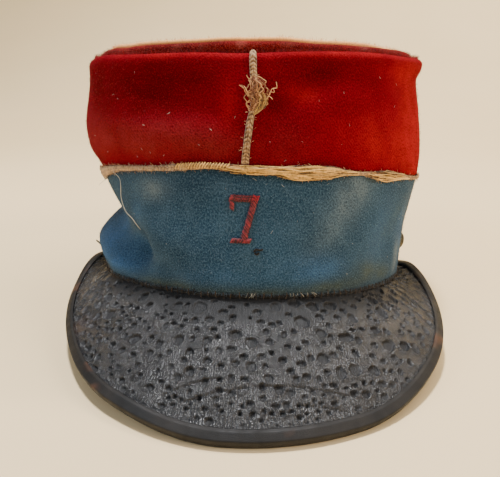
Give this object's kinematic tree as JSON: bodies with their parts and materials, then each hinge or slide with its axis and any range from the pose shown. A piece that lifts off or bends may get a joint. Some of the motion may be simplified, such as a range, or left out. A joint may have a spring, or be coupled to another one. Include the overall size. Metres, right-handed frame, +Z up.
{
  "type": "kepi cap",
  "caption": "Worn cloth kepi with a red crown, blue band, braided seams, pebbled leather peak, side buttons and an embroidered numeral.",
  "frame": {"origin": "on the floor under the middle of the cap as it stands on its peak and the back of its rim", "axes": "+Z up, -Y the front of the cap where the peak is, +X to the right of someone facing the front"},
  "size_m": [0.1748, 0.2514, 0.1252],
  "materials": {
    "blue_cloth": "felted wool, faded and stained",
    "red_cloth": "felted wool, darker in its creases",
    "maroon_piping": "speckled twisted piping",
    "straw_braid": "knitted braid, frayed",
    "peak_leather": "pitted, worn satin",
    "binding_leather": "worn satin",
    "aged_brass": "tarnished",
    "red_thread": "satin stitch"
  },
  "bodies": {
    "root": {"band": "blue_cloth", "crown_front_left": "red_cloth", "crown_front_right": "red_cloth", "crown_back_left": "red_cloth", "crown_back_right": "red_cloth", "crown_top": "red_cloth", "top_piping": "maroon_piping", "top_braid": "straw_braid", "seam_braid": "straw_braid", "braid_front": "straw_braid", "braid_back": "straw_braid", "braid_left": "straw_braid", "braid_right": "straw_braid", "peak": "peak_leather", "peak_binding": "binding_leather", "button_left": "aged_brass", "button_right": "aged_brass", "numeral": "red_thread"}
  },
  "joints": []
}
